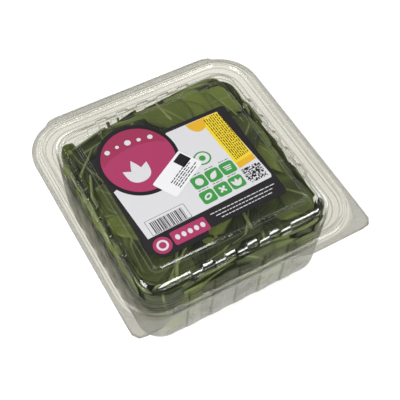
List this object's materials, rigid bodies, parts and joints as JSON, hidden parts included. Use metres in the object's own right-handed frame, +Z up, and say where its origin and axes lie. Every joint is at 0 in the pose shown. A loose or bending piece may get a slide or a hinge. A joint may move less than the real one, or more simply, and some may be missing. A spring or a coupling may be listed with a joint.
{
  "type": "clear hinged pack of spinach leaves",
  "caption": "Shallow square clear plastic tray with a hinged lid, filled with loose spinach leaves, with a label and a sticker on the lid.",
  "frame": {"origin": "under the middle of the pack, on the surface that it stands on", "axes": "+Z up; -Y towards the front with the lifting tabs; +Y towards the hinge; +X to the right seen from the front"},
  "size_m": [0.185, 0.1896, 0.0763],
  "materials": {
    "tray_film": "clear thin formed plastic film, glossy",
    "lid_film": "clear thin formed plastic film, glossy",
    "leaves": "fresh dark green leaves, satin, with paler stems and veins",
    "label_print": "printed label in magenta, white, yellow, green and black fields, semi-gloss",
    "sticker_paper": "small white paper sticker with a dark square, semi-gloss"
  },
  "bodies": {
    "tray": {"tray": "tray_film", "spinach": "leaves"},
    "lid": {"lid": "lid_film", "label": "label_print", "sticker": "sticker_paper"}
  },
  "joints": [
    {"name": "lid_hinge", "type": "hinge", "parent": "tray", "child": "lid", "pos_m": [0, 0.0951, 0.0666], "axis": [-1, 0, 0], "range_deg": [0, 180]}
  ]
}
